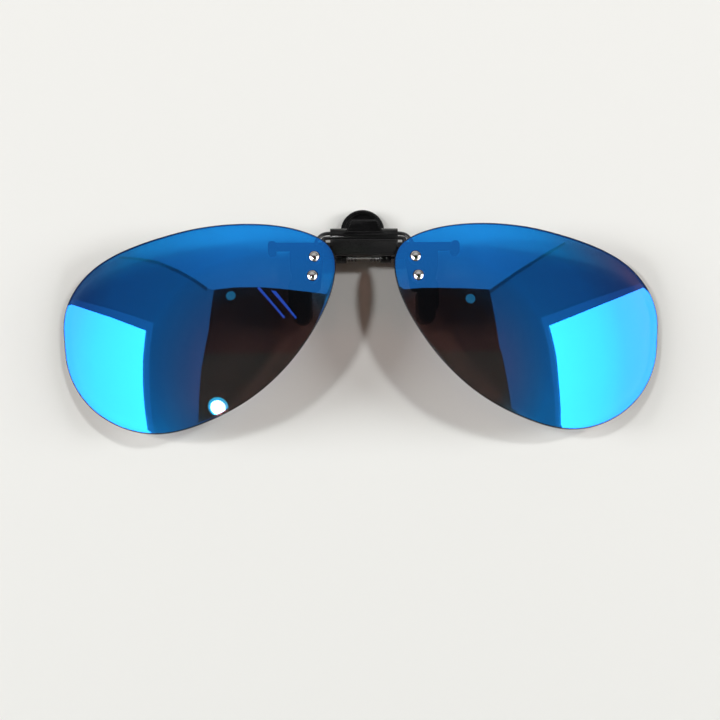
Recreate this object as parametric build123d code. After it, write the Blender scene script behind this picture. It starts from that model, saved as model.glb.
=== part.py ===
from build123d import *
from math import atan2, cos, degrees, pi, sin, sqrt
import os

# Flip-up clip-on sunglasses lying on their back: +X along the width, +Y towards the brow,
# +Z out of the front of the lenses.  Millimetres.  Everything is drawn with Y = 0 at the
# height of the lens vertex and moved by MID_Y at the end, so that the origin is the middle
# of the footprint on the table.  The right-hand pieces are drawn and mirrored for the left.
MID_Y = 3.25

# Lenses: shells of a sphere, cut to an aviator outline
LENS_RADIUS = 88.0
LENS_THICK = 1.1
LENS_VERTEX_X = 24.5
LENS_VERTEX_Z = 12.3
LENS_OUTLINE = [
    (66.85, 1.0), (65.59, 8.32), (60.32, 14.79), (51.9, 19.15), (44.3, 21.45), (36.5, 23.15),
    (28.44, 23.9), (19.88, 23.6), (12.42, 21.9), (7.28, 18.55), (6.58, 12.53), (10.41, 2.0),
    (16.85, -7.22), (25.52, -14.86), (35.19, -19.74), (45.52, -22.0), (54.84, -19.84), (62.75, -13.43),
    (66.1, -6.11),
]
LENS_CENTRE = (LENS_VERTEX_X, 0.0, LENS_VERTEX_Z - LENS_RADIUS)

# Lens fixing: two dome screws through lens, washer, bracket and nut
SCREW_SPOTS = [(11.1, 16.48), (11.58, 12.12)]
SCREW_R = 0.65
SCREW_HOLE_R = 0.72
DOME_R = 1.25
DOME_HIGH = 0.5
WASHER_R = 1.7
WASHER_THICK = 0.25
BRACKET_THICK = 0.9
BRACKET_SIZE = (4.2, 11.0)
BRACKET_MID = (11.4, 14.0)
NUT_R = 1.35
NUT_THICK = 1.0

# Flip hinge: the wire hairpins of both lenses are held in one turning axle
FLIP_Y = 21.7
FLIP_Z = 6.0
AXLE_R = 1.15
AXLE_HALF = 7.3
AXLE_FLAT = 1.0
FLAT_HALF = 2.6
WIRE_R = 0.425
WIRE_OFFSET = 0.52
RUNNING_GAP = 0.05

# Front jaw: hinge barrel, block, thumb tab and the snap-on cover
BARREL_R = 1.6
BLOCK_HALF = 7.5
BLOCK_BOTTOM_Y = 17.15
BLOCK_BACK_Z = 4.55
COVER_Z = 6.9
COVER_TOP_Y = 20.67
PEG_SPOT = (5.0, 18.6)
PEG_R = 0.5
TAB_TOP_Y = 25.05
TAB_TOP_HALF = 2.8
TAB_RIM = 0.3
TAB_RECESS = 0.2

# Jaw pivot: pin, knuckles and the double torsion spring
PIVOT_Y = 17.25
PIVOT_Z = 3.2
PIN_R = 0.42
PIN_HALF = 6.2
KNUCKLE_R = 1.25
REAR_KNUCKLE = (3.86, 4.95)
FRONT_KNUCKLE = (5.0, 6.15)
SPRING_WIRE_R = 0.21
COIL_R = 0.7
COIL_START = 1.6
COIL_PITCH = 0.78
COIL_TURNS = 2.5

# Legs: sheet-metal arms with rubber sleeves that grip the spectacle lens
LEG_THICK = 0.8
FRONT_LEG_Z = 4.7
FRONT_ARM = (18.45, 20.3)
FRONT_ROOT_Y = 17.8
FRONT_ARM_END = 20.9
FRONT_SLEEVE_Z = (2.75, 6.0)
REAR_LEG_THICK = 0.7
REAR_LEG_Z = 0.75
REAR_ARM = (17.35, 19.15)
REAR_SLEEVE_HIGH = 2.6
SLEEVE_WIDE = 4.3
FIT_GAP = 0.02

# Rear jaw: lever plate and round thumb disc
LEVER_Z = (0.4, 1.8)
DISC_Y = 23.55
DISC_R = 4.95
DISC_THICK = 1.6


def block(x, y, z):
    """A box from three (low, high) pairs."""
    size = [high - low for low, high in (x, y, z)]
    middle = [(high + low) / 2 for low, high in (x, y, z)]
    return Pos(*middle) * Box(*size)


def rod(x, y, z, radius):
    """A cylinder along X between two x values."""
    return Pos((x[0] + x[1]) / 2, y, z) * Rot(0, 90, 0) * Cylinder(radius, x[1] - x[0])


def plate(outline, z):
    """An outline in plan, made solid between two heights."""
    return extrude(Pos(0, 0, z[0]) * outline, z[1] - z[0])


def side_plate(profile, half_wide):
    """A (y, z) profile made solid symmetrically across X."""
    face = make_face(Polyline(*profile, close=True))
    return extrude(Plane.YZ.offset(-half_wide) * face, 2 * half_wide)


def rounded_bar(x, y, radius):
    """A rounded rectangle in plan from (low, high) pairs."""
    middle = Pos((x[0] + x[1]) / 2, (y[0] + y[1]) / 2)
    return middle * RectangleRounded(x[1] - x[0], y[1] - y[0], radius)


def both_sides(solid):
    return solid + mirror(solid, about=Plane.YZ)


# ---- lenses and their fixings -------------------------------------------------

def dome_shell(outer_radius, thick):
    """A spherical shell around the lens centre, with its poles off to the sides."""
    ball = Sphere(outer_radius) - Sphere(outer_radius - thick)
    return Pos(*LENS_CENTRE) * Rot(0, 90, 0) * ball


def on_lens(x, y, radius=LENS_RADIUS):
    """The frame above (x, y) whose Z is the lens normal, at a distance from the lens centre."""
    away = Vector(x - LENS_CENTRE[0], y, 0)
    normal = (away + Vector(0, 0, sqrt(LENS_RADIUS**2 - away.length**2))).normalized()
    return Plane(origin=Vector(*LENS_CENTRE) + normal * radius, z_dir=normal)


def screw_holes(radius):
    """Long cutters along the axes of both screws."""
    return [on_lens(x, y) * Cylinder(radius, 12) for x, y in SCREW_SPOTS]


LENS_BACK = LENS_RADIUS - LENS_THICK
BRACKET_FRONT = LENS_BACK - WASHER_THICK
BRACKET_BACK = BRACKET_FRONT - BRACKET_THICK


def lens():
    outline = make_face(Spline(*LENS_OUTLINE, periodic=True))
    return dome_shell(LENS_RADIUS, LENS_THICK) & plate(outline, (-5, 20)) - screw_holes(SCREW_HOLE_R)


def screw():
    ball_r = (DOME_R**2 + DOME_HIGH**2) / (2 * DOME_HIGH)
    cap = Pos(0, 0, DOME_HIGH - ball_r) * Sphere(ball_r)
    cap &= Pos(0, 0, DOME_HIGH / 2) * Cylinder(DOME_R + 1, DOME_HIGH)
    long = LENS_RADIUS - BRACKET_BACK + NUT_THICK + 0.3
    return cap + Pos(0, 0, -long / 2) * Cylinder(SCREW_R, long)


def washer():
    ring = Cylinder(WASHER_R, 12) - Cylinder(SCREW_HOLE_R, 12)
    return ring


def nut():
    body = extrude(RegularPolygon(NUT_R, 6), -NUT_THICK)
    return body - Cylinder(SCREW_R + 0.01, 4 * NUT_THICK)


def fixing_sets():
    """The screws, washers and nuts of one lens, each as a group of two solids."""
    thin_shell = dome_shell(LENS_BACK - 0.01, WASHER_THICK - 0.02)
    screws, washers, nuts = [], [], []
    for x, y in SCREW_SPOTS:
        screws.append(on_lens(x, y) * screw())
        washers.append(thin_shell & on_lens(x, y) * washer())
        nuts.append(on_lens(x, y, BRACKET_BACK - 0.02) * nut())
    return Compound(screws), Compound(washers), Compound(nuts)


def bracket():
    """A curved strip behind the lens, its long axis through both screws."""
    (x1, y1), (x2, y2) = SCREW_SPOTS
    tilt = 90 + degrees(atan2(y1 - y2, x1 - x2)) - 180
    outline = Pos(*BRACKET_MID) * Rot(0, 0, tilt) * RectangleRounded(*BRACKET_SIZE, 1.5)
    strip = dome_shell(BRACKET_FRONT, BRACKET_THICK) & plate(outline, (-5, 20))
    return strip - screw_holes(SCREW_HOLE_R)


# ---- flip hinge ---------------------------------------------------------------

def wire_loop():
    """A hairpin: both ends in the axle, the bend lying behind the top of the bracket."""
    top, low = FLIP_Y + WIRE_OFFSET, FLIP_Y - WIRE_OFFSET
    start = (AXLE_HALF - 2.3, top, FLIP_Z)
    out = (BLOCK_HALF + 0.1, top, FLIP_Z)
    back = (BLOCK_HALF + 0.1, low, FLIP_Z)
    end = (AXLE_HALF - 2.3, low, FLIP_Z)
    bend = Spline(
        out, (9.4, 21.8, 6.05), (10.6, 20.4, 6.2), (10.75, 19.2, 6.25), (10.1, 18.55, 6.25),
        (9.5, 19.2, 6.2), (8.95, 20.5, 6.1), back,
        tangents=[(1, 0, 0), (-1, 0, 0)],
    )
    path = Line(start, out) + bend + Line(back, end)
    return sweep(Plane(start, z_dir=(1, 0, 0)) * Circle(WIRE_R), path=path)


def flip_axle():
    axle = rod((-AXLE_HALF, AXLE_HALF), FLIP_Y, FLIP_Z, AXLE_R)
    axle -= block((-FLAT_HALF, FLAT_HALF), (FLIP_Y - 3, FLIP_Y - AXLE_FLAT), (3, 9))
    axle -= block((-FLAT_HALF, FLAT_HALF), (FLIP_Y - 3, FLIP_Y + 3), (FLIP_Z - 3, FLIP_Z - AXLE_FLAT))
    for offset in (-WIRE_OFFSET, WIRE_OFFSET):
        hole = rod((AXLE_HALF - 2.4, AXLE_HALF + 1), FLIP_Y + offset, FLIP_Z, WIRE_R + 0.01)
        axle -= both_sides(hole)
    return axle


def detent_spring():
    """A bent leaf: its foot lies in the block and its lip bears on the flat of the axle."""
    lip_y = FLIP_Y - AXLE_FLAT - RUNNING_GAP
    centre_line = Polyline(
        (lip_y - 2.7, 5.4), (lip_y - 0.8, 5.4), (lip_y - 0.15, 5.8), (lip_y - 0.15, 6.6))
    leaf = make_face(offset(centre_line, 0.14).edges())
    return extrude(Plane.YZ.offset(-2.2) * leaf, 4.4)


# ---- front jaw ----------------------------------------------------------------

def tab_profile(lower=0.0):
    """The tab's side view; lower drops its front face, which runs on from the barrel's crest."""
    front = [(FLIP_Y, 7.62), (24.5, 7.8), (TAB_TOP_Y, 7.65)]
    back = [(TAB_TOP_Y, 6.5), (23.3, 6.0), (FLIP_Y, 4.9)]
    return [(y, z - lower) for y, z in front] + back


def tab_plan():
    """The tab's front view: nearly upright sides that sweep out over the barrel."""
    side = [(5.3, FLIP_Y), (4.9, 21.95), (4.3, 22.25), (3.95, 22.65), (3.72, 23.2), (3.1, 24.8),
            (TAB_TOP_HALF, TAB_TOP_Y)]
    return make_face(Polyline(*side, *[(-x, y) for x, y in reversed(side)], close=True))


def thumb_tab():
    """The flared tab over the barrel, with a raised rim along its free edges."""
    tab = side_plate(tab_profile(), 7) & plate(tab_plan(), (0, 12))
    inner = plate(offset(tab_plan(), -TAB_RIM), (0, 12)) & block((-5, 5), (22.3, 26), (0, 12))
    return tab - (inner - side_plate(tab_profile(TAB_RECESS), 7))


def front_jaw():
    width = (-BLOCK_HALF, BLOCK_HALF)
    jaw = rod(width, FLIP_Y, FLIP_Z, BARREL_R)
    jaw += block(width, (BLOCK_BOTTOM_Y, FLIP_Y), (BLOCK_BACK_Z, COVER_Z))
    jaw += thumb_tab()
    jaw -= block((-9, 9), (BLOCK_BOTTOM_Y - 1, COVER_TOP_Y + 0.03), (COVER_Z, 9))
    lug = rod(FRONT_KNUCKLE, PIVOT_Y, PIVOT_Z, KNUCKLE_R)
    lug += block(FRONT_KNUCKLE, (PIVOT_Y - 0.1, PIVOT_Y + 1.2), (PIVOT_Z, BLOCK_BACK_Z + 0.2))
    jaw += both_sides(lug)
    jaw -= rod((-9, 9), PIVOT_Y, PIVOT_Z, PIN_R + RUNNING_GAP)
    jaw -= rod((-9, 9), FLIP_Y, FLIP_Z, AXLE_R + RUNNING_GAP)
    # room for the leaf spring
    jaw -= block((-2.4, 2.4), (17.7, FLIP_Y - 0.9), (5.2, 8))
    # side pockets for the legs and holes for the cover's pegs
    arm_y = (FRONT_ROOT_Y - FIT_GAP, FRONT_ARM[1] + FIT_GAP)
    arm_z = (FRONT_LEG_Z - FIT_GAP, FRONT_LEG_Z + LEG_THICK + FIT_GAP)
    jaw -= both_sides(block((6.1 - FIT_GAP, 9), arm_y, arm_z))
    jaw -= both_sides(Pos(*PEG_SPOT, COVER_Z) * Cylinder(PEG_R + FIT_GAP, 2.4))
    return jaw


def front_cover():
    """The face plate, with a proud top edge, bevelled sides and a bevelled foot."""
    profile = [
        (BLOCK_BOTTOM_Y, COVER_Z + 0.02), (BLOCK_BOTTOM_Y, 7.2), (17.45, 7.5), (20.1, 7.5), (20.25, 7.7),
        (20.55, 7.7), (COVER_TOP_Y, 7.58), (COVER_TOP_Y, COVER_Z + 0.02),
    ]
    bevel = 0.55
    ends = make_face(Polyline(
        (-BLOCK_HALF, COVER_Z), (BLOCK_HALF, COVER_Z), (BLOCK_HALF, 7.7 - bevel), (BLOCK_HALF - bevel, 7.7),
        (bevel - BLOCK_HALF, 7.7), (-BLOCK_HALF, 7.7 - bevel), close=True))
    cover = side_plate(profile, BLOCK_HALF) & extrude(Plane.XZ.offset(-30) * ends, 30)
    cover += both_sides(Pos(*PEG_SPOT, COVER_Z - 0.4) * Cylinder(PEG_R, 1.2))
    return cover


def front_leg():
    """The arm out of the block, and the leg that hangs from it beside a long slot."""
    arm = rounded_bar((10, FRONT_ARM_END), FRONT_ARM, 0.3)
    arm += rounded_bar((6.1, 16.55), (FRONT_ROOT_Y, FRONT_ARM[1]), 0.3)
    leg = make_face(Polyline(
        (10.9, 19.0), (16.55, 19.0), (16.55, 15.0), (15.7, 11.2), (14.9, 10.4), (14.7, 4.5),
        (14.0, 3.7), (13.3, 3.7), (12.6, 4.5), (12.4, 10.4), (11.5, 11.2), (10.9, 15.0), close=True))
    slot = rounded_bar((13.6, 15.1), (12.0, 17.0), 0.6)
    return plate(arm + leg - slot, (FRONT_LEG_Z, FRONT_LEG_Z + LEG_THICK))


def front_sleeve():
    """A dipped cap over the foot of the leg, with a round tip."""
    body = plate(rounded_bar((11.55, 15.8), (2.0, 10.2), 2.1), FRONT_SLEEVE_Z)
    body = fillet(body.edges().group_by(Axis.Z)[-1], 0.5)
    leg_z = (FRONT_LEG_Z - FIT_GAP, FRONT_LEG_Z + LEG_THICK + FIT_GAP)
    return body - block((12.4 - FIT_GAP, 14.9 + FIT_GAP), (3.7 - FIT_GAP, 10.5), leg_z)


def brow_tip():
    """The rubber foot on the free end of the arm."""
    body = plate(rounded_bar((19.45, 21.35), (17.4, 20.55), 0.85), (3.7, 6.3))
    arm_y = (FRONT_ARM[0] - FIT_GAP, FRONT_ARM[1] + FIT_GAP)
    arm_z = (FRONT_LEG_Z - FIT_GAP, FRONT_LEG_Z + LEG_THICK + FIT_GAP)
    return body - block((18, FRONT_ARM_END + FIT_GAP), arm_y, arm_z)


# ---- rear jaw, pin and spring -------------------------------------------------

def rear_jaw():
    """Lever plate, thumb disc with a raised rim, and a pair of knuckles."""
    low_y = BLOCK_BOTTOM_Y + 0.1
    outline = make_face(Polyline(
        (-6.0, low_y), (6.0, low_y), (6.0, 19.9), (4.3, 21.4), (4.3, DISC_Y), (-4.3, DISC_Y),
        (-4.3, 21.4), (-6.0, 19.9), close=True))
    dish = Pos(0, DISC_Y, DISC_THICK) * Cylinder(DISC_R - 0.9, 0.8)
    disc = Pos(0, DISC_Y, DISC_THICK / 2) * Cylinder(DISC_R, DISC_THICK)
    disc = chamfer(disc.edges().group_by(Axis.Z)[-1], 0.25)
    jaw = plate(outline, LEVER_Z) + disc - dish
    jaw -= block((-3.5, 3.5), (low_y - 1, 18.5), (0, 3))
    jaw += block((-1.9, 1.9), (19.7, 20.7), (LEVER_Z[1] - 0.2, 2.25))
    knuckle = rod(REAR_KNUCKLE, PIVOT_Y, PIVOT_Z, KNUCKLE_R)
    knuckle += block(REAR_KNUCKLE, (PIVOT_Y - 0.15, PIVOT_Y + 1.1), (LEVER_Z[1] - 0.2, PIVOT_Z))
    jaw += both_sides(knuckle)
    jaw -= rod((-9, 9), PIVOT_Y, PIVOT_Z, PIN_R + 0.01)
    leg_y = (REAR_ARM[0] - FIT_GAP, REAR_ARM[1] + FIT_GAP)
    leg_z = (REAR_LEG_Z - FIT_GAP, REAR_LEG_Z + REAR_LEG_THICK + FIT_GAP)
    return jaw - both_sides(block((4.0 - FIT_GAP, 9), leg_y, leg_z))


def rear_leg():
    arm = rounded_bar((4.0, 16.3), REAR_ARM, 0.3)
    leg = rounded_bar((13.5, 16.1), (5.9, 19.15), 0.6)
    return plate(arm + leg, (REAR_LEG_Z, REAR_LEG_Z + REAR_LEG_THICK))


def rear_sleeve():
    body = plate(rounded_bar((16.9 - SLEEVE_WIDE, 16.9), (4.95, 12.8), 2.0), (0, REAR_SLEEVE_HIGH))
    body = fillet(body.edges().group_by(Axis.Z)[0], 0.5)
    leg_z = (REAR_LEG_Z - FIT_GAP, REAR_LEG_Z + REAR_LEG_THICK + FIT_GAP)
    return body - block((13.5 - FIT_GAP, 16.1 + FIT_GAP), (5.9 - FIT_GAP, 13), leg_z)


def pivot_pin():
    return chamfer(rod((-PIN_HALF, PIN_HALF), PIVOT_Y, PIVOT_Z, PIN_R).edges().filter_by(GeomType.CIRCLE), 0.12)


def jaw_spring():
    """Two coils on the pin, joined by a bridge on the lever, with tails under the block."""
    bridge_z = PIVOT_Z - COIL_R
    tail_z = PIVOT_Z + COIL_R
    points = [(0, 20.2, bridge_z), (0.8, 20.2, bridge_z), (COIL_START - 0.05, 19.5, bridge_z),
              (COIL_START - 0.05, 18.4, bridge_z)]
    steps = int(COIL_TURNS * 8)
    for step in range(steps + 1):
        turn = 2 * pi * step / 8
        x = COIL_START + COIL_PITCH * step / 8
        points.append((x, PIVOT_Y - COIL_R * sin(turn), PIVOT_Z - COIL_R * cos(turn)))
    last_x = points[-1][0]
    points += [(last_x, 18.4, tail_z + 0.05), (last_x, 20.2, tail_z + 0.35)]
    half = sweep(Plane(points[0], z_dir=(1, 0, 0)) * Circle(SPRING_WIRE_R), path=Spline(*points))
    return both_sides(half)


# ---- assembly -----------------------------------------------------------------

def paired(name, solid):
    """A right-hand piece and its mirror image."""
    return {name + "_right": solid, name + "_left": mirror(solid, about=Plane.YZ)}


def nodes():
    screws, washers, nuts = fixing_sets()
    pieces = {
        "flip_axle": flip_axle(),
        "detent_spring": detent_spring(),
        "front_jaw": front_jaw(),
        "front_cover": front_cover(),
        "rear_jaw": rear_jaw(),
        "pivot_pin": pivot_pin(),
        "jaw_spring": jaw_spring(),
    }
    for name, solid in {
        "lens": lens(),
        "lens_screws": screws,
        "lens_washers": washers,
        "lens_nuts": nuts,
        "bracket": bracket(),
        "wire_loop": wire_loop(),
        "front_leg": front_leg(),
        "front_sleeve": front_sleeve(),
        "brow_tip": brow_tip(),
        "rear_leg": rear_leg(),
        "rear_sleeve": rear_sleeve(),
    }.items():
        pieces.update(paired(name, solid))
    return {name: Pos(0, -MID_Y, 0) * solid for name, solid in pieces.items()}


os.makedirs("parts", exist_ok=True)
for name, solid in nodes().items():
    export_step(solid, f"parts/{name}.step")
    box = solid.bounding_box()
    print(name, [round(v, 2) for v in (*box.min, *box.max)])
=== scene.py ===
"""Looks of the flip-up clip-on sunglasses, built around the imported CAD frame.

Sections: helpers, materials, lenses, screws, studio.  Lengths are millimetres, which new_mesh and
MM turn into Blender's metres.  The frame's own axes are used: +X width, +Y brow, +Z out of the
lens fronts.
"""
import math

import bpy
from mathutils import Matrix, Vector, geometry


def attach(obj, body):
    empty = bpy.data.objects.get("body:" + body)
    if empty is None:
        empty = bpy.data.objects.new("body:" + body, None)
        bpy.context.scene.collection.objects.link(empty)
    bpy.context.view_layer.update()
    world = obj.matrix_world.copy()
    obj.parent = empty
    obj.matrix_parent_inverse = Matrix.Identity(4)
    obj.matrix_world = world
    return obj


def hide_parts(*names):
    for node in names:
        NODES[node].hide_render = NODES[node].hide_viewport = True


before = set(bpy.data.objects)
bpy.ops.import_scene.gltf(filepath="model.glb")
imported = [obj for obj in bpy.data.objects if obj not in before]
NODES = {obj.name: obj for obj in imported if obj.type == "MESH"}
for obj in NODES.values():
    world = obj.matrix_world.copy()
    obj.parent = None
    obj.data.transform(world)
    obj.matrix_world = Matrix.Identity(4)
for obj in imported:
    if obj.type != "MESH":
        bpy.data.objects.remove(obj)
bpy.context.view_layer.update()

MM = 0.001
SIDES = ("left", "right")


# ---- helpers ------------------------------------------------------------------

def new_mesh(name, points_mm, faces, *materials):
    """A mesh object from points in millimetres."""
    mesh = bpy.data.meshes.new(name)
    mesh.from_pydata([[MM * c for c in point] for point in points_mm], [], faces)
    for material in materials:
        mesh.materials.append(material)
    thing = bpy.data.objects.new(name, mesh)
    bpy.context.scene.collection.objects.link(thing)
    return thing


def shade_smooth(mesh):
    for face in mesh.polygons:
        face.use_smooth = True


def circle(count):
    """The directions of that many even steps round a circle."""
    turns = [2 * math.pi * k / count for k in range(count)]
    return [Vector((math.cos(turn), math.sin(turn))) for turn in turns]


def loop_faces(first, loops, count, hubs):
    """Faces over stacked loops of count points each: quads between loops, then a fan to each hub.

    The first loop's points start at index first, and hubs are the indices of the end points.
    """
    last = first + (loops - 1) * count
    steps = [(k, (k + 1) % count) for k in range(count)]
    faces = [(row + a, row + count + a, row + count + b, row + b)
             for row in range(first, last, count) for a, b in steps]
    for a, b in steps:
        faces += [(hubs[0], first + a, first + b), (hubs[1], last + b, last + a)]
    return faces


class Nodes:
    """A short way to write a material's node tree."""

    def __init__(self, name):
        self.material = bpy.data.materials.new(name)
        self.material.use_nodes = True
        self.tree = self.material.node_tree
        self.shader = self.tree.nodes["Principled BSDF"]
        self.output = self.tree.nodes["Material Output"]

    def add(self, kind, **values):
        """A node, with each value set on the input of that name or else on the node itself."""
        node = self.tree.nodes.new(kind)
        for key, value in values.items():
            if key in node.inputs:
                node.inputs[key].default_value = value
            else:
                setattr(node, key, value)
        return node

    def link(self, source, target):
        self.tree.links.new(source, target)

    def feed(self, **sources):
        """Link outputs to the Principled shader's inputs, named with _ for a space."""
        for key, source in sources.items():
            self.link(source, self.shader.inputs[key.replace("_", " ")])

    def set(self, **values):
        """Set plain values on the Principled shader's inputs, named with _ for a space."""
        for key, value in values.items():
            self.shader.inputs[key.replace("_", " ")].default_value = value

    def shine_with(self, light):
        """Use another shader's output in place of the Principled shader."""
        self.link(light, self.output.inputs["Surface"])
        self.tree.nodes.remove(self.shader)

    def position(self, scale=(1, 1, 1)):
        """Object coordinates in millimetres, times a scale."""
        where = self.add("ShaderNodeTexCoord")
        sized = self.add("ShaderNodeMapping", Scale=[s / MM for s in scale])
        self.link(where.outputs["Object"], sized.inputs["Vector"])
        return sized.outputs["Vector"]

    def noise(self, vector, scale, detail=3.0, rough=0.55):
        """Cloudy values from 0 to 1, about as many clouds as the scale to each unit of the vector."""
        made = self.add("ShaderNodeTexNoise", Scale=scale, Detail=detail, Roughness=rough)
        self.link(vector, made.inputs["Vector"])
        return made.outputs["Fac"]

    def remap(self, source, low, high, into=(0.0, 1.0)):
        """The source's range low to high, stretched over another range and clamped to it."""
        made = self.add("ShaderNodeMapRange")
        for socket, value in zip(("From Min", "From Max", "To Min", "To Max"), (low, high, *into)):
            made.inputs[socket].default_value = value
        self.link(source, made.inputs["Value"])
        return made.outputs["Result"]

    def blend_colour(self, factor, first, second):
        """A mix of two colours; either may be a colour output of another node."""
        made = self.add("ShaderNodeMix", data_type="RGBA")
        # inputs 6 and 7 of a Mix node are its colour sockets
        for colour, socket in ((first, made.inputs[6]), (second, made.inputs[7])):
            if isinstance(colour, tuple):
                socket.default_value = (*colour, 1)
            else:
                self.link(colour, socket)
        self.link(factor, made.inputs[0])
        return made.outputs[2]

    def bump(self, height, strength, distance_mm):
        made = self.add("ShaderNodeBump", Strength=strength, Distance=distance_mm * MM)
        self.link(height, made.inputs["Height"])
        return made.outputs["Normal"]

    def edge_mask(self, radius_mm):
        """1 along the part's edges, 0 on its open faces: how far a bevel would turn the normal."""
        rounded = self.add("ShaderNodeBevel", samples=6, Radius=radius_mm * MM)
        plain = self.add("ShaderNodeNewGeometry")
        agree = self.add("ShaderNodeVectorMath", operation="DOT_PRODUCT")
        self.link(rounded.outputs["Normal"], agree.inputs[0])
        self.link(plain.outputs["Normal"], agree.inputs[1])
        return self.remap(agree.outputs["Value"], 0.97, 0.8)


# ---- materials ----------------------------------------------------------------

# A painted highlight: the lighter grey painted along the plastic parts' edges where their bevels
# catch the light, and the width of that edge band.
EDGE_HIGHLIGHT_GREY = (0.085, 0.085, 0.085)
EDGE_HIGHLIGHT_MM = 0.1


def moulded_plastic(name, base, shine, grain, specular):
    """Injection-moulded black plastic: fine spark-erosion grain, polish patches, and a painted
    highlight, lighter grey painted along the edges.
    """
    m = Nodes(name)
    place = m.position()
    fine = m.noise(place, 9.0, 4.0)
    broad = m.noise(place, 0.35, 2.0)
    lighter = tuple(1.7 * c + 0.004 for c in base)
    grained = m.blend_colour(m.remap(fine, 0.35, 0.75), base, lighter)
    # The base colour is painted lighter along the edges: a painted highlight.
    m.feed(Roughness=m.remap(broad, 0.3, 0.7, (shine - 0.06, shine + 0.07)),
           Base_Color=m.blend_colour(m.edge_mask(EDGE_HIGHLIGHT_MM), grained, EDGE_HIGHLIGHT_GREY),
           Normal=m.bump(fine, grain, 0.02))
    m.set(IOR=1.5, Specular_IOR_Level=specular)
    return m.material


def soft_rubber(name):
    """Dipped soft PVC: matt, slightly mottled, a dusty bloom on top."""
    m = Nodes(name)
    place = m.position()
    mottle = m.noise(place, 1.6, 5.0, 0.6)
    dust = m.remap(m.noise(place, 14.0, 2.0), 0.62, 0.8)
    m.feed(Roughness=m.remap(mottle, 0.3, 0.7, (0.48, 0.68)),
           Base_Color=m.blend_colour(dust, (0.011, 0.011, 0.012), (0.035, 0.035, 0.037)),
           Normal=m.bump(mottle, 0.3, 0.05))
    m.set(IOR=1.52, Sheen_Weight=0.12)
    return m.material


def coated_wire(name):
    """Glossy black lacquer over wire, with slight waviness."""
    m = Nodes(name)
    wave = m.noise(m.position(), 1.1, 2.0)
    m.feed(Roughness=m.remap(wave, 0.3, 0.7, (0.16, 0.28)),
           Base_Color=m.blend_colour(wave, (0.006, 0.006, 0.007), (0.014, 0.014, 0.016)),
           Normal=m.bump(wave, 0.15, 0.03))
    m.set(IOR=1.55, Coat_Weight=0.6, Coat_Roughness=0.08)
    return m.material


def dark_steel(name):
    """Blackened sheet steel with rolling marks along X."""
    m = Nodes(name)
    marks = m.noise(m.position((0.25, 6.0, 6.0)), 1.5, 4.0)
    m.feed(Roughness=m.remap(marks, 0.3, 0.7, (0.3, 0.46)),
           Base_Color=m.blend_colour(marks, (0.012, 0.012, 0.014), (0.045, 0.045, 0.05)),
           Normal=m.bump(marks, 0.2, 0.01))
    m.set(Metallic=0.8)
    return m.material


def bright_steel(name, rough, marks_scale):
    """Bare steel: polished screws and drawn spring wire."""
    m = Nodes(name)
    marks = m.noise(m.position(marks_scale), 2.0, 4.0)
    m.feed(Roughness=m.remap(marks, 0.25, 0.75, (rough - 0.04, rough + 0.06)),
           Base_Color=m.blend_colour(marks, (0.46, 0.45, 0.44), (0.6, 0.59, 0.58)),
           Normal=m.bump(marks, 0.06, 0.01))
    m.set(Metallic=1.0)
    return m.material


def clear_nylon(name):
    """Cloudy, half clear nylon."""
    m = Nodes(name)
    cloud = m.noise(m.position(), 2.0, 3.0)
    m.feed(Roughness=m.remap(cloud, 0.3, 0.7, (0.25, 0.4)),
           Base_Color=m.blend_colour(cloud, (0.7, 0.7, 0.68), (0.85, 0.85, 0.83)))
    m.set(Transmission_Weight=0.5, IOR=1.53)
    return m.material


def coated_face(name, tint, slant_tint, through, slant_through, body_colour, rough):
    """A lens face: tinted mirror, dyed body and the light that passes through, added up.

    The coating turns both tints to their slant colours as the view tips away from straight on,
    and lets the dye's own colour through again where it tips further.
    """
    m = Nodes(name)
    specks = m.noise(m.position(), 2.6, 2.0, 0.4)
    mirror = m.add("ShaderNodeBsdfGlossy")
    slant = m.add("ShaderNodeLayerWeight", Blend=0.5).outputs["Facing"]
    m.link(m.blend_colour(m.remap(slant, 0.04, 0.2), tint, slant_tint), mirror.inputs["Color"])
    m.link(m.remap(specks, 0.68, 0.8, (rough, 4 * rough)), mirror.inputs["Roughness"])
    clear = m.add("ShaderNodeBsdfTransparent")
    tipped = m.blend_colour(m.remap(slant, 0.025, 0.07), through, slant_through)
    passed = m.blend_colour(m.remap(slant, 0.15, 0.26), tipped, through)
    m.link(passed, clear.inputs["Color"])
    dye = m.add("ShaderNodeBsdfDiffuse", Color=(*body_colour, 1))
    total = mirror.outputs[0]
    for layer in (clear, dye):
        both = m.add("ShaderNodeAddShader")
        m.link(total, both.inputs[0])
        m.link(layer.outputs[0], both.inputs[1])
        total = both.outputs[0]
    m.shine_with(total)
    return m.material


def lens_edge(name):
    """The cut and tumbled edge of the dark lens."""
    m = Nodes(name)
    saw = m.noise(m.position((1.5, 1.5, 0.4)), 3.0, 4.0)
    m.feed(Roughness=m.remap(saw, 0.3, 0.7, (0.16, 0.3)),
           Base_Color=m.blend_colour(saw, (0.001, 0.002, 0.006), (0.003, 0.005, 0.011)),
           Normal=m.bump(saw, 0.2, 0.02))
    m.set(IOR=1.35)
    return m.material


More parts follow.
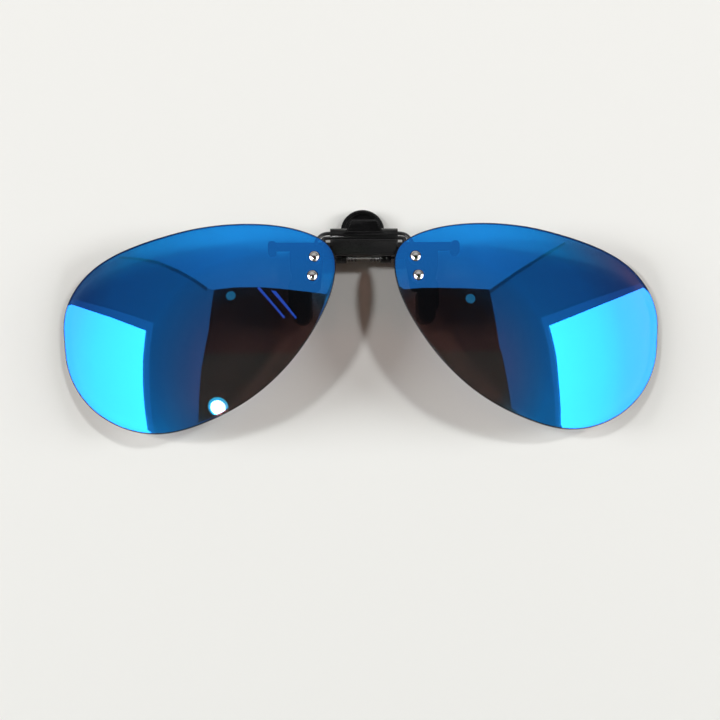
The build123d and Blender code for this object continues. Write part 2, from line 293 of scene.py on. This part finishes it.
LENS_TINT, SLANT_TINT = (0.29, 0.20, 0.18), (0.08, 0.42, 0.64)
MIRROR_LENS = coated_face("mirror_coated_lens", (0.008, 0.14, 0.48), (0.008, 0.08, 0.37),
                          LENS_TINT, SLANT_TINT, (0.002, 0.003, 0.004), 0.010)
LENS_BACK = coated_face("smoke_lens_back", (0.045, 0.043, 0.042), (0.06, 0.058, 0.056),
                        LENS_TINT, SLANT_TINT, (0.012, 0.008, 0.007), 0.02)
LENS_EDGE = lens_edge("lens_edge")
BLACK_PLASTIC = moulded_plastic("moulded_black_plastic", (0.003, 0.003, 0.0033), 0.20, 0.2, 0.22)
COVER_PLASTIC = moulded_plastic("satin_cover_plastic", (0.009, 0.009, 0.0093), 0.18, 0.12, 0.4)
RUBBER = soft_rubber("dipped_rubber")
WIRE = coated_wire("lacquered_wire")
STEEL = dark_steel("blackened_sheet_steel")
CHROME = bright_steel("polished_chrome", 0.05, (1, 1, 1))
SPRING = bright_steel("drawn_spring_steel", 0.22, (0.3, 3, 3))
NYLON = clear_nylon("clear_nylon")

# The material of each kind of node, which is its name without _left or _right.
FINISHES = {
    "lens": MIRROR_LENS, "lens_screws": CHROME, "lens_washers": NYLON, "lens_nuts": STEEL,
    "bracket": STEEL, "wire_loop": WIRE, "flip_axle": BLACK_PLASTIC, "detent_spring": SPRING,
    "front_jaw": BLACK_PLASTIC, "front_cover": COVER_PLASTIC, "front_leg": STEEL,
    "front_sleeve": RUBBER, "brow_tip": RUBBER, "rear_jaw": BLACK_PLASTIC, "rear_leg": STEEL,
    "rear_sleeve": RUBBER, "pivot_pin": SPRING, "jaw_spring": WIRE,
}

# How far each kind's edges are rounded, where it isn't the usual amount.
USUAL_EDGE_MM = 0.08
EDGE_MM = {
    "front_jaw": 0.12, "front_cover": 0.12, "front_leg": 0.12, "rear_jaw": 0.16, "brow_tip": 0.3,
}
WELD_MM = 0.0001


def dress_cad_nodes():
    """Each CAD node's material and softly rounded edges."""
    for name, node in NODES.items():
        kind = name.removesuffix("_left").removesuffix("_right")
        node.data.materials.clear()
        node.data.materials.append(FINISHES[kind])
        weld = node.modifiers.new("weld", "WELD")
        weld.merge_threshold = WELD_MM * MM
        bevel = node.modifiers.new("soft_edges", "BEVEL")
        bevel.width = EDGE_MM.get(kind, USUAL_EDGE_MM) * MM
        bevel.segments = 2
        bevel.limit_method = "ANGLE"
        bevel.angle_limit = math.radians(35)
        bevel.harden_normals = True
        shade_smooth(node.data)


dress_cad_nodes()


# ---- lenses -------------------------------------------------------------------

# The front of each lens is part of a sphere, and the vertex is the right sphere's foremost point.
LENS_RADIUS_MM = 88.0
LENS_THICK_MM = 1.1
LENS_VERTEX_MM = Vector((24.5, -3.25, 12.3))
EDGE_ROUND_MM = 0.25
SEGMENTS = 320
RINGS = 40
EDGE_STEPS = 5
SMOOTHINGS = 6
BEYOND_LENS_MM = 100


def sphere_middle(x):
    """The middle of the sphere that the front of the lens on that side of x = 0 is part of."""
    side_x = math.copysign(LENS_VERTEX_MM.x, x)
    return Vector((side_x, LENS_VERTEX_MM.y, LENS_VERTEX_MM.z - LENS_RADIUS_MM))


def lens_reach(corners, centre):
    """How far the outline lies from the centre, in each segment's direction."""
    stretches = list(zip(corners, corners[1:] + corners[:1]))
    reach = []
    for way in circle(SEGMENTS):
        far = centre + BEYOND_LENS_MM * way
        hits = (geometry.intersect_line_line_2d(centre, far, *ends) for ends in stretches)
        reach.append(next((hit - centre).length for hit in hits if hit))
    for _ in range(SMOOTHINGS):
        after = reach[1:] + reach[:1]
        reach = [(reach[k - 1] + 2 * reach[k] + after[k]) / 4 for k in range(SEGMENTS)]
    return reach


def lens_rows():
    """The loops of a lens, out from the middle of the front, face 0, and in along the back, face 1.

    Each is (kind, scale, inset, step, face).  The loop is the outline made smaller by the inset
    and then scaled, and it lies the step's depth into the glass from its face.
    """
    inner = [("inner", k / RINGS, EDGE_ROUND_MM, 0) for k in range(1, RINGS + 1)]
    edge = []
    for k in range(1, EDGE_STEPS + 1):
        turn = math.pi / 2 * k / EDGE_STEPS
        inset = EDGE_ROUND_MM * (1 - math.sin(turn))
        edge.append(("edge", 1, inset, EDGE_ROUND_MM * (1 - math.cos(turn))))
    front = [(*row, 0) for row in inner + edge]
    back = [(*row, 1) for row in reversed(inner + edge)]
    return front + back


def build_lens(side):
    """A finely divided lens with rounded edges, on the outline of its CAD node."""
    node = NODES["lens_" + side]
    flat = [(node.matrix_world @ vertex.co).xy / MM for vertex in node.data.vertices]
    corners = [flat[k] for k in geometry.convex_hull_2d(flat)]
    centre = sum(corners, Vector((0, 0))) / len(corners)
    reach = lens_reach(corners, centre)
    middle = sphere_middle(centre.x)

    def surface(spot, face):
        radius = LENS_RADIUS_MM - face * LENS_THICK_MM
        return middle.z + math.sqrt(radius**2 - (spot - middle.xy).length_squared)

    rows, ways = lens_rows(), circle(SEGMENTS)
    points = []
    for _, scale, inset, step, face in rows:
        for far, way in zip(reach, ways):
            spot = centre + scale * (far - inset) * way
            points.append((*spot, surface(spot, face) + (step if face else -step)))
    hubs = len(points), len(points) + 1
    points += [(*centre, surface(centre, face)) for face in (0, 1)]

    front_slot, edge_slot, back_slot = range(3)
    slots = []
    for (kind, *_, face), (next_kind, *_) in zip(rows, rows[1:]):
        face_slot = back_slot if face else front_slot
        slots += [edge_slot if "edge" in (kind, next_kind) else face_slot] * SEGMENTS
    slots += [front_slot, back_slot] * SEGMENTS

    faces = loop_faces(0, len(rows), SEGMENTS, hubs)
    piece = new_mesh("fine_lens_" + side, points, faces, MIRROR_LENS, LENS_EDGE, LENS_BACK)
    piece.data.polygons.foreach_set("material_index", slots)
    shade_smooth(piece.data)
    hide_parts("lens_" + side)
    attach(piece, "lens_flip")


for side in SIDES:
    build_lens(side)


# ---- screws -------------------------------------------------------------------

SCREW_SPOTS_MM = [(11.1, 13.23), (11.58, 8.87)]
HEAD_RADIUS_MM, HEAD_HIGH_MM, HEAD_WALL_MM = 1.25, 0.8, 0.1
SHANK_RADIUS_MM, SHANK_LONG_MM, SHANK_CHAMFER_MM = 0.65, 3.55, 0.15
DOME_STEPS = 16
DOME_SHARE = 0.97    # the rest of the dome's arc is the slope down to the head's wall
TURNED = 64


def screw_profile():
    """(radius, height) points from the top of the dome to the end of the shank."""
    rise = HEAD_HIGH_MM - HEAD_WALL_MM
    ball = (HEAD_RADIUS_MM**2 + rise**2) / (2 * rise)
    widest = math.asin(HEAD_RADIUS_MM / ball) * DOME_SHARE
    turns = [widest * k / DOME_STEPS for k in range(1, DOME_STEPS + 1)]
    dome = [(ball * math.sin(a), HEAD_HIGH_MM - ball * (1 - math.cos(a))) for a in turns]
    wall = [(HEAD_RADIUS_MM, HEAD_WALL_MM), (HEAD_RADIUS_MM, 0.0)]
    shank = [(SHANK_RADIUS_MM, 0.0), (SHANK_RADIUS_MM, SHANK_CHAMFER_MM - SHANK_LONG_MM),
             (SHANK_RADIUS_MM - SHANK_CHAMFER_MM, -SHANK_LONG_MM)]
    return dome + wall + shank


def screw_place(x, y):
    """Where a screw sits: on the lens's sphere near that spot, with Z along the sphere's normal."""
    middle = sphere_middle(x)
    across = Vector((x - middle.x, y - middle.y, 0))
    up = math.sqrt(LENS_RADIUS_MM**2 - across.length_squared)
    normal = (across + Vector((0, 0, up))).normalized()
    turned = normal.to_track_quat("Z", "Y").to_matrix().to_4x4()
    return Matrix.Translation(middle + LENS_RADIUS_MM * normal) @ turned


def build_screws(side):
    """Both polished dome screws of a lens, turned about the lens normal at their spots."""
    profile = screw_profile()
    points, faces = [], []
    for x, y in SCREW_SPOTS_MM:
        place = screw_place(x if side == "right" else -x, y)
        first = len(points)
        for radius, height in profile:
            points += [place @ Vector((*(radius * way), height)) for way in circle(TURNED)]
        hubs = len(points), len(points) + 1
        points += [place @ Vector((0, 0, height)) for height in (HEAD_HIGH_MM, -SHANK_LONG_MM)]
        faces += loop_faces(first, len(profile), TURNED, hubs)
    piece = new_mesh("turned_screws_" + side, points, faces, CHROME)
    shade_smooth(piece.data)
    crease = piece.modifiers.new("sharp_steps", "EDGE_SPLIT")
    crease.split_angle = math.radians(40)
    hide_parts("lens_screws_" + side)
    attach(piece, "lens_flip")


for side in SIDES:
    build_screws(side)


# ---- studio -------------------------------------------------------------------

CAMERA_AT_MM = (-16.25, -37.4, 300.0)
CAMERA_TILT = (5.45, -2.91, -0.52)
CAMERA_LENS = 67.0
FLOOR_HALF_MM = 3000

# The room that the lenses reflect: outlines of level panels, as (x, y) in millimetres.
WALL = [(-1000, -500), (1000, -500), (1000, 500), (-1000, 500)]
CEILING_EDGE = [
    (-255, 161), (-200, 138.5), (-160, 120), (-125, 99), (-100, 81.5), (-82, 67), (-72, 62),
    (57, 57), (101, 90), (197, 160),
]
LEFT_CORNICE, RIGHT_CORNICE = CEILING_EDGE[:6], CEILING_EDGE[-3:]
CORNICE_WIDE_MM = 5
ROOM_DARK = [
    (-72.5, 61.5), (-77, 15), (-86, -28), (-96, -100), (90, -100), (67, -4), (59, 58.5),
    (20, 60), (-20, 62.5), (-50, 63),
]
ROOM_LOW = [(-82, -10), (-86, -28), (-96, -100), (90, -100), (69, -10)]
LEFT_WINDOW = [
    (-160, 21), (-165, -15), (-168, -45), (-175, -130), (-210, -400), (-900, -400), (-900, 262),
    (-393, 102), (-231, 47),
]
RIGHT_WINDOW = [
    (130.5, 20), (140, -15), (145, -42), (162, -110), (210, -400), (1000, -400), (1000, 320),
    (529, 168), (240, 61),
]
WINDOW_FRAME_MM = 9
SPOT_LAMP_AT = (-68, -68)
DISC_SIDES = 24
GLINTS = [
    [(-23.8, 16.5), (-22.9, 17.0), (-13.3, 4.9), (-13.9, 4.5)],
    [(-18.6, 15.6), (-16.6, 15.3), (-8.8, 4.9), (-9.4, 4.5)],
]

WORLD_COLOUR, WORLD_STRENGTH = (1.0, 0.82, 0.64), 0.08
LAMP_COLOUR = (0.99, 0.995, 0.985)
# Each lamp's azimuth from +X towards +Y, elevation above the table, strength, and width in the
# sky; the angles are degrees.
LAMPS = {
    "left_lamp": (165, 45, 0.96, 6),
    "right_lamp": (25, 46, 0.96, 6),
    "low_left_lamp": (176, 20, 2.2, 20),
    "low_right_lamp": (4, 20, 2.2, 20),
}


def add_camera():
    """The photo's viewpoint: nearly straight above, tilted by a few degrees about each axis."""
    data = bpy.data.cameras.new("camera")
    data.sensor_width = 36.0
    data.lens = CAMERA_LENS
    data.clip_start = 0.01
    data.clip_end = 20.0
    camera = bpy.data.objects.new("camera", data)
    pose = Matrix.Translation(Vector(CAMERA_AT_MM) * MM)
    for axis, degrees in zip("XYZ", CAMERA_TILT):
        pose = pose @ Matrix.Rotation(math.radians(degrees), 4, axis)
    camera.matrix_world = pose
    bpy.context.scene.collection.objects.link(camera)
    bpy.context.scene.camera = camera


def floor_material():
    """Pale matt paper, painted a little lighter towards +Y: a painted falloff of the light across the
    table.
    """
    m = Nodes("pale_floor")
    place = m.position()
    along = m.add("ShaderNodeSeparateXYZ")
    m.link(place, along.inputs[0])
    # Painted light: the paper's colour grows lighter towards +Y.
    painted_light_falloff = m.remap(along.outputs["Y"], -90, 75)
    m.feed(Base_Color=m.blend_colour(painted_light_falloff, (0.85, 0.855, 0.84), (0.905, 0.905, 0.89)),
           Normal=m.bump(m.noise(place, 0.8, 4.0), 0.05, 0.05))
    m.set(Roughness=0.7, Specular_IOR_Level=0.1)
    return m.material


def add_floor():
    far = FLOOR_HALF_MM
    corners = [(-far, -far, 0), (far, -far, 0), (far, far, 0), (-far, far, 0)]
    new_mesh("floor", corners, [range(4)], floor_material())


def disc(x, y, radius):
    return [(x + radius * way.x, y + radius * way.y) for way in circle(DISC_SIDES)]


def towards_middle(outline, by):
    """The outline moved by that much towards x = 0 and as much towards +Y."""
    inward = -math.copysign(by, outline[0][0])
    return [(x + inward, y + by) for x, y in outline]


def band(line, wide):
    """A strip of that width below a line."""
    return line + [(x, y - wide) for x, y in reversed(line)]


def ceiling_glow(m):
    """Brighter overhead and far along +Y, dimmer to both sides."""
    where = m.add("ShaderNodeSeparateXYZ")
    m.link(m.position(), where.inputs[0])
    aside = m.add("ShaderNodeMath", operation="ABSOLUTE")
    m.link(where.outputs["X"], aside.inputs[0])
    both = m.add("ShaderNodeMath", operation="MULTIPLY")
    m.link(m.remap(where.outputs["Y"], 60, 190, (0.62, 0.85)), both.inputs[0])
    m.link(m.remap(aside.outputs[0], 60, 240, (1.0, 0.45)), both.inputs[1])
    return both.outputs[0]


def card(name, outline, height, glow, colour=(1, 1, 1)):
    """A level panel above the object that shows only in its reflections.

    The glow is a number, or a function that adds nodes to the card's material and returns one.
    """
    m = Nodes(name)
    light = m.add("ShaderNodeEmission", Color=(*colour, 1))
    if callable(glow):
        m.link(glow(m), light.inputs["Strength"])
    else:
        light.inputs["Strength"].default_value = glow
    m.shine_with(light.outputs[0])
    corners = [(x, y, height) for x, y in outline]
    panel = new_mesh(name, corners, [range(len(corners))], m.material)
    for rays in ("camera", "diffuse", "shadow", "transmission", "volume_scatter"):
        setattr(panel, "visible_" + rays, False)


def add_reflected_room():
    """The cards, each hidden by the lower ones where they overlap."""
    card("wall_card", WALL, 168, 0.31)
    ceiling = CEILING_EDGE + [(400, 330), (400, 900), (-500, 900), (-500, 330)]
    card("ceiling_card", ceiling, 166, ceiling_glow)
    card("left_cornice_card", band(LEFT_CORNICE, CORNICE_WIDE_MM), 164, 0.12)
    card("right_cornice_card", band(RIGHT_CORNICE, CORNICE_WIDE_MM), 164, 0.12)
    card("dark_room_card", ROOM_DARK, 160, 0.0)
    card("dark_low_card", ROOM_LOW, 159, 0.05, (0.4, 1.0, 0.25))
    for name, outline in (("left", LEFT_WINDOW), ("right", RIGHT_WINDOW)):
        card(name + "_frame_card", towards_middle(outline, WINDOW_FRAME_MM), 162, 0.55)
        card(name + "_window_card", outline, 158, 7.2)
    card("left_lamp_card", disc(-40.3, 26.8, 3.0), 80, 0.62, (1, 1, 0.62))
    card("right_lamp_card", disc(29.5, 23.5, 3.0), 80, 0.62, (1, 1, 0.62))
    card("spot_halo_card", disc(*SPOT_LAMP_AT, 11.5), 156, 3.0, (0.6, 0.9, 0.45))
    card("spot_card", disc(*SPOT_LAMP_AT, 8.0), 154, 200.0)
    for k, outline in enumerate(GLINTS):
        card(f"glint_card_{k}", outline, 40, 0.7, (2.0, 0.6, 1.2))


def add_world():
    world = bpy.data.worlds.new("studio")
    bpy.context.scene.world = world
    world.use_nodes = True
    background = world.node_tree.nodes["Background"]
    background.inputs["Color"].default_value = (*WORLD_COLOUR, 1)
    background.inputs["Strength"].default_value = WORLD_STRENGTH


def from_side(azimuth, elevation):
    """The direction to a lamp, as seen from the object."""
    a, e = math.radians(azimuth), math.radians(elevation)
    return Vector((math.cos(a) * math.cos(e), math.sin(a) * math.cos(e), math.sin(e)))


def add_lamps():
    """Distant lamps that light the floor and the parts, and stay out of the reflections."""
    for name, (azimuth, elevation, strength, width) in LAMPS.items():
        data = bpy.data.lights.new(name, "SUN")
        data.energy = strength
        data.angle = math.radians(width)
        data.color = LAMP_COLOUR
        lamp = bpy.data.objects.new(name, data)
        lamp.rotation_mode = "QUATERNION"
        lamp.rotation_quaternion = from_side(azimuth, elevation).to_track_quat("Z", "Y")
        bpy.context.scene.collection.objects.link(lamp)
        lamp.visible_glossy = False


bpy.context.scene.view_settings.view_transform = "Standard"
add_camera()
add_floor()
add_reflected_room()
add_world()
add_lamps()
